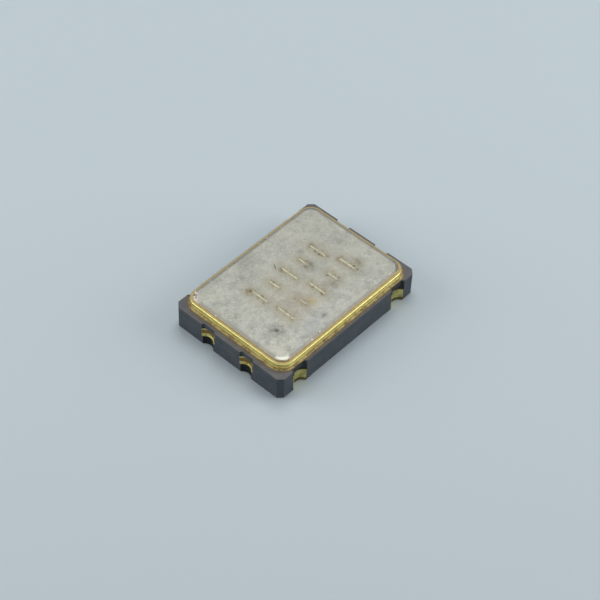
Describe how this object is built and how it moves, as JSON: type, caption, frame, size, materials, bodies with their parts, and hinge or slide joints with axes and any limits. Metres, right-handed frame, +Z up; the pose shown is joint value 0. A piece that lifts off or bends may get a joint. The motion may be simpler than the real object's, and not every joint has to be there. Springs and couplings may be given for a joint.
{
  "type": "crystal oscillator",
  "caption": "Surface-mount crystal oscillator: dark layered ceramic package with plated edge holes, a gold-plated seal ring and a flat welded metal lid.",
  "frame": {"origin": "under the middle of the package, on the plane of its solder lands", "axes": "+X along the long side, +Y along the short side, +Z up through the lid"},
  "size_m": [0.007, 0.005, 0.0014],
  "materials": {
    "dark_alumina": "matte fired alumina, dark grey",
    "gold_plate": "gold plate over printed tungsten, satin",
    "gold_plated_ring": "gold-plated iron-nickel alloy, satin",
    "braze_alloy": "gold-plated silver-copper braze, satin",
    "nickel_lid": "matte nickel plate, light heat tint",
    "quartz": "lapped and polished quartz",
    "electrode_film": "evaporated silver film",
    "silicon": "polished silicon",
    "silver_adhesive": "silver-filled adhesive",
    "gold_wire": "drawn gold wire, bright"
  },
  "bodies": {
    "root": {"bond_finger_1": "gold_plate", "bond_finger_2": "gold_plate", "bond_finger_3": "gold_plate", "bond_finger_4": "gold_plate", "bond_finger_5": "gold_plate", "bond_finger_6": "gold_plate", "bond_wire_1": "gold_wire", "bond_wire_2": "gold_wire", "bond_wire_3": "gold_wire", "bond_wire_4": "gold_wire", "bond_wire_5": "gold_wire", "bond_wire_6": "gold_wire", "braze_fillet": "braze_alloy", "ceramic_base": "dark_alumina", "crystal_pad_1": "gold_plate", "crystal_pad_2": "gold_plate", "die_attach": "silver_adhesive", "die_paddle": "gold_plate", "electrode_bottom": "electrode_film", "electrode_top": "electrode_film", "ic_die": "silicon", "lid": "nickel_lid", "mount_adhesive_1": "silver_adhesive", "mount_adhesive_2": "silver_adhesive", "quartz_blank": "quartz", "seal_ring": "gold_plated_ring", "side_pad_1": "gold_plate", "side_pad_2": "gold_plate", "side_pad_3": "gold_plate", "side_pad_4": "gold_plate", "terminal_1": "gold_plate", "terminal_2": "gold_plate", "terminal_3": "gold_plate", "terminal_4": "gold_plate"}
  },
  "joints": []
}
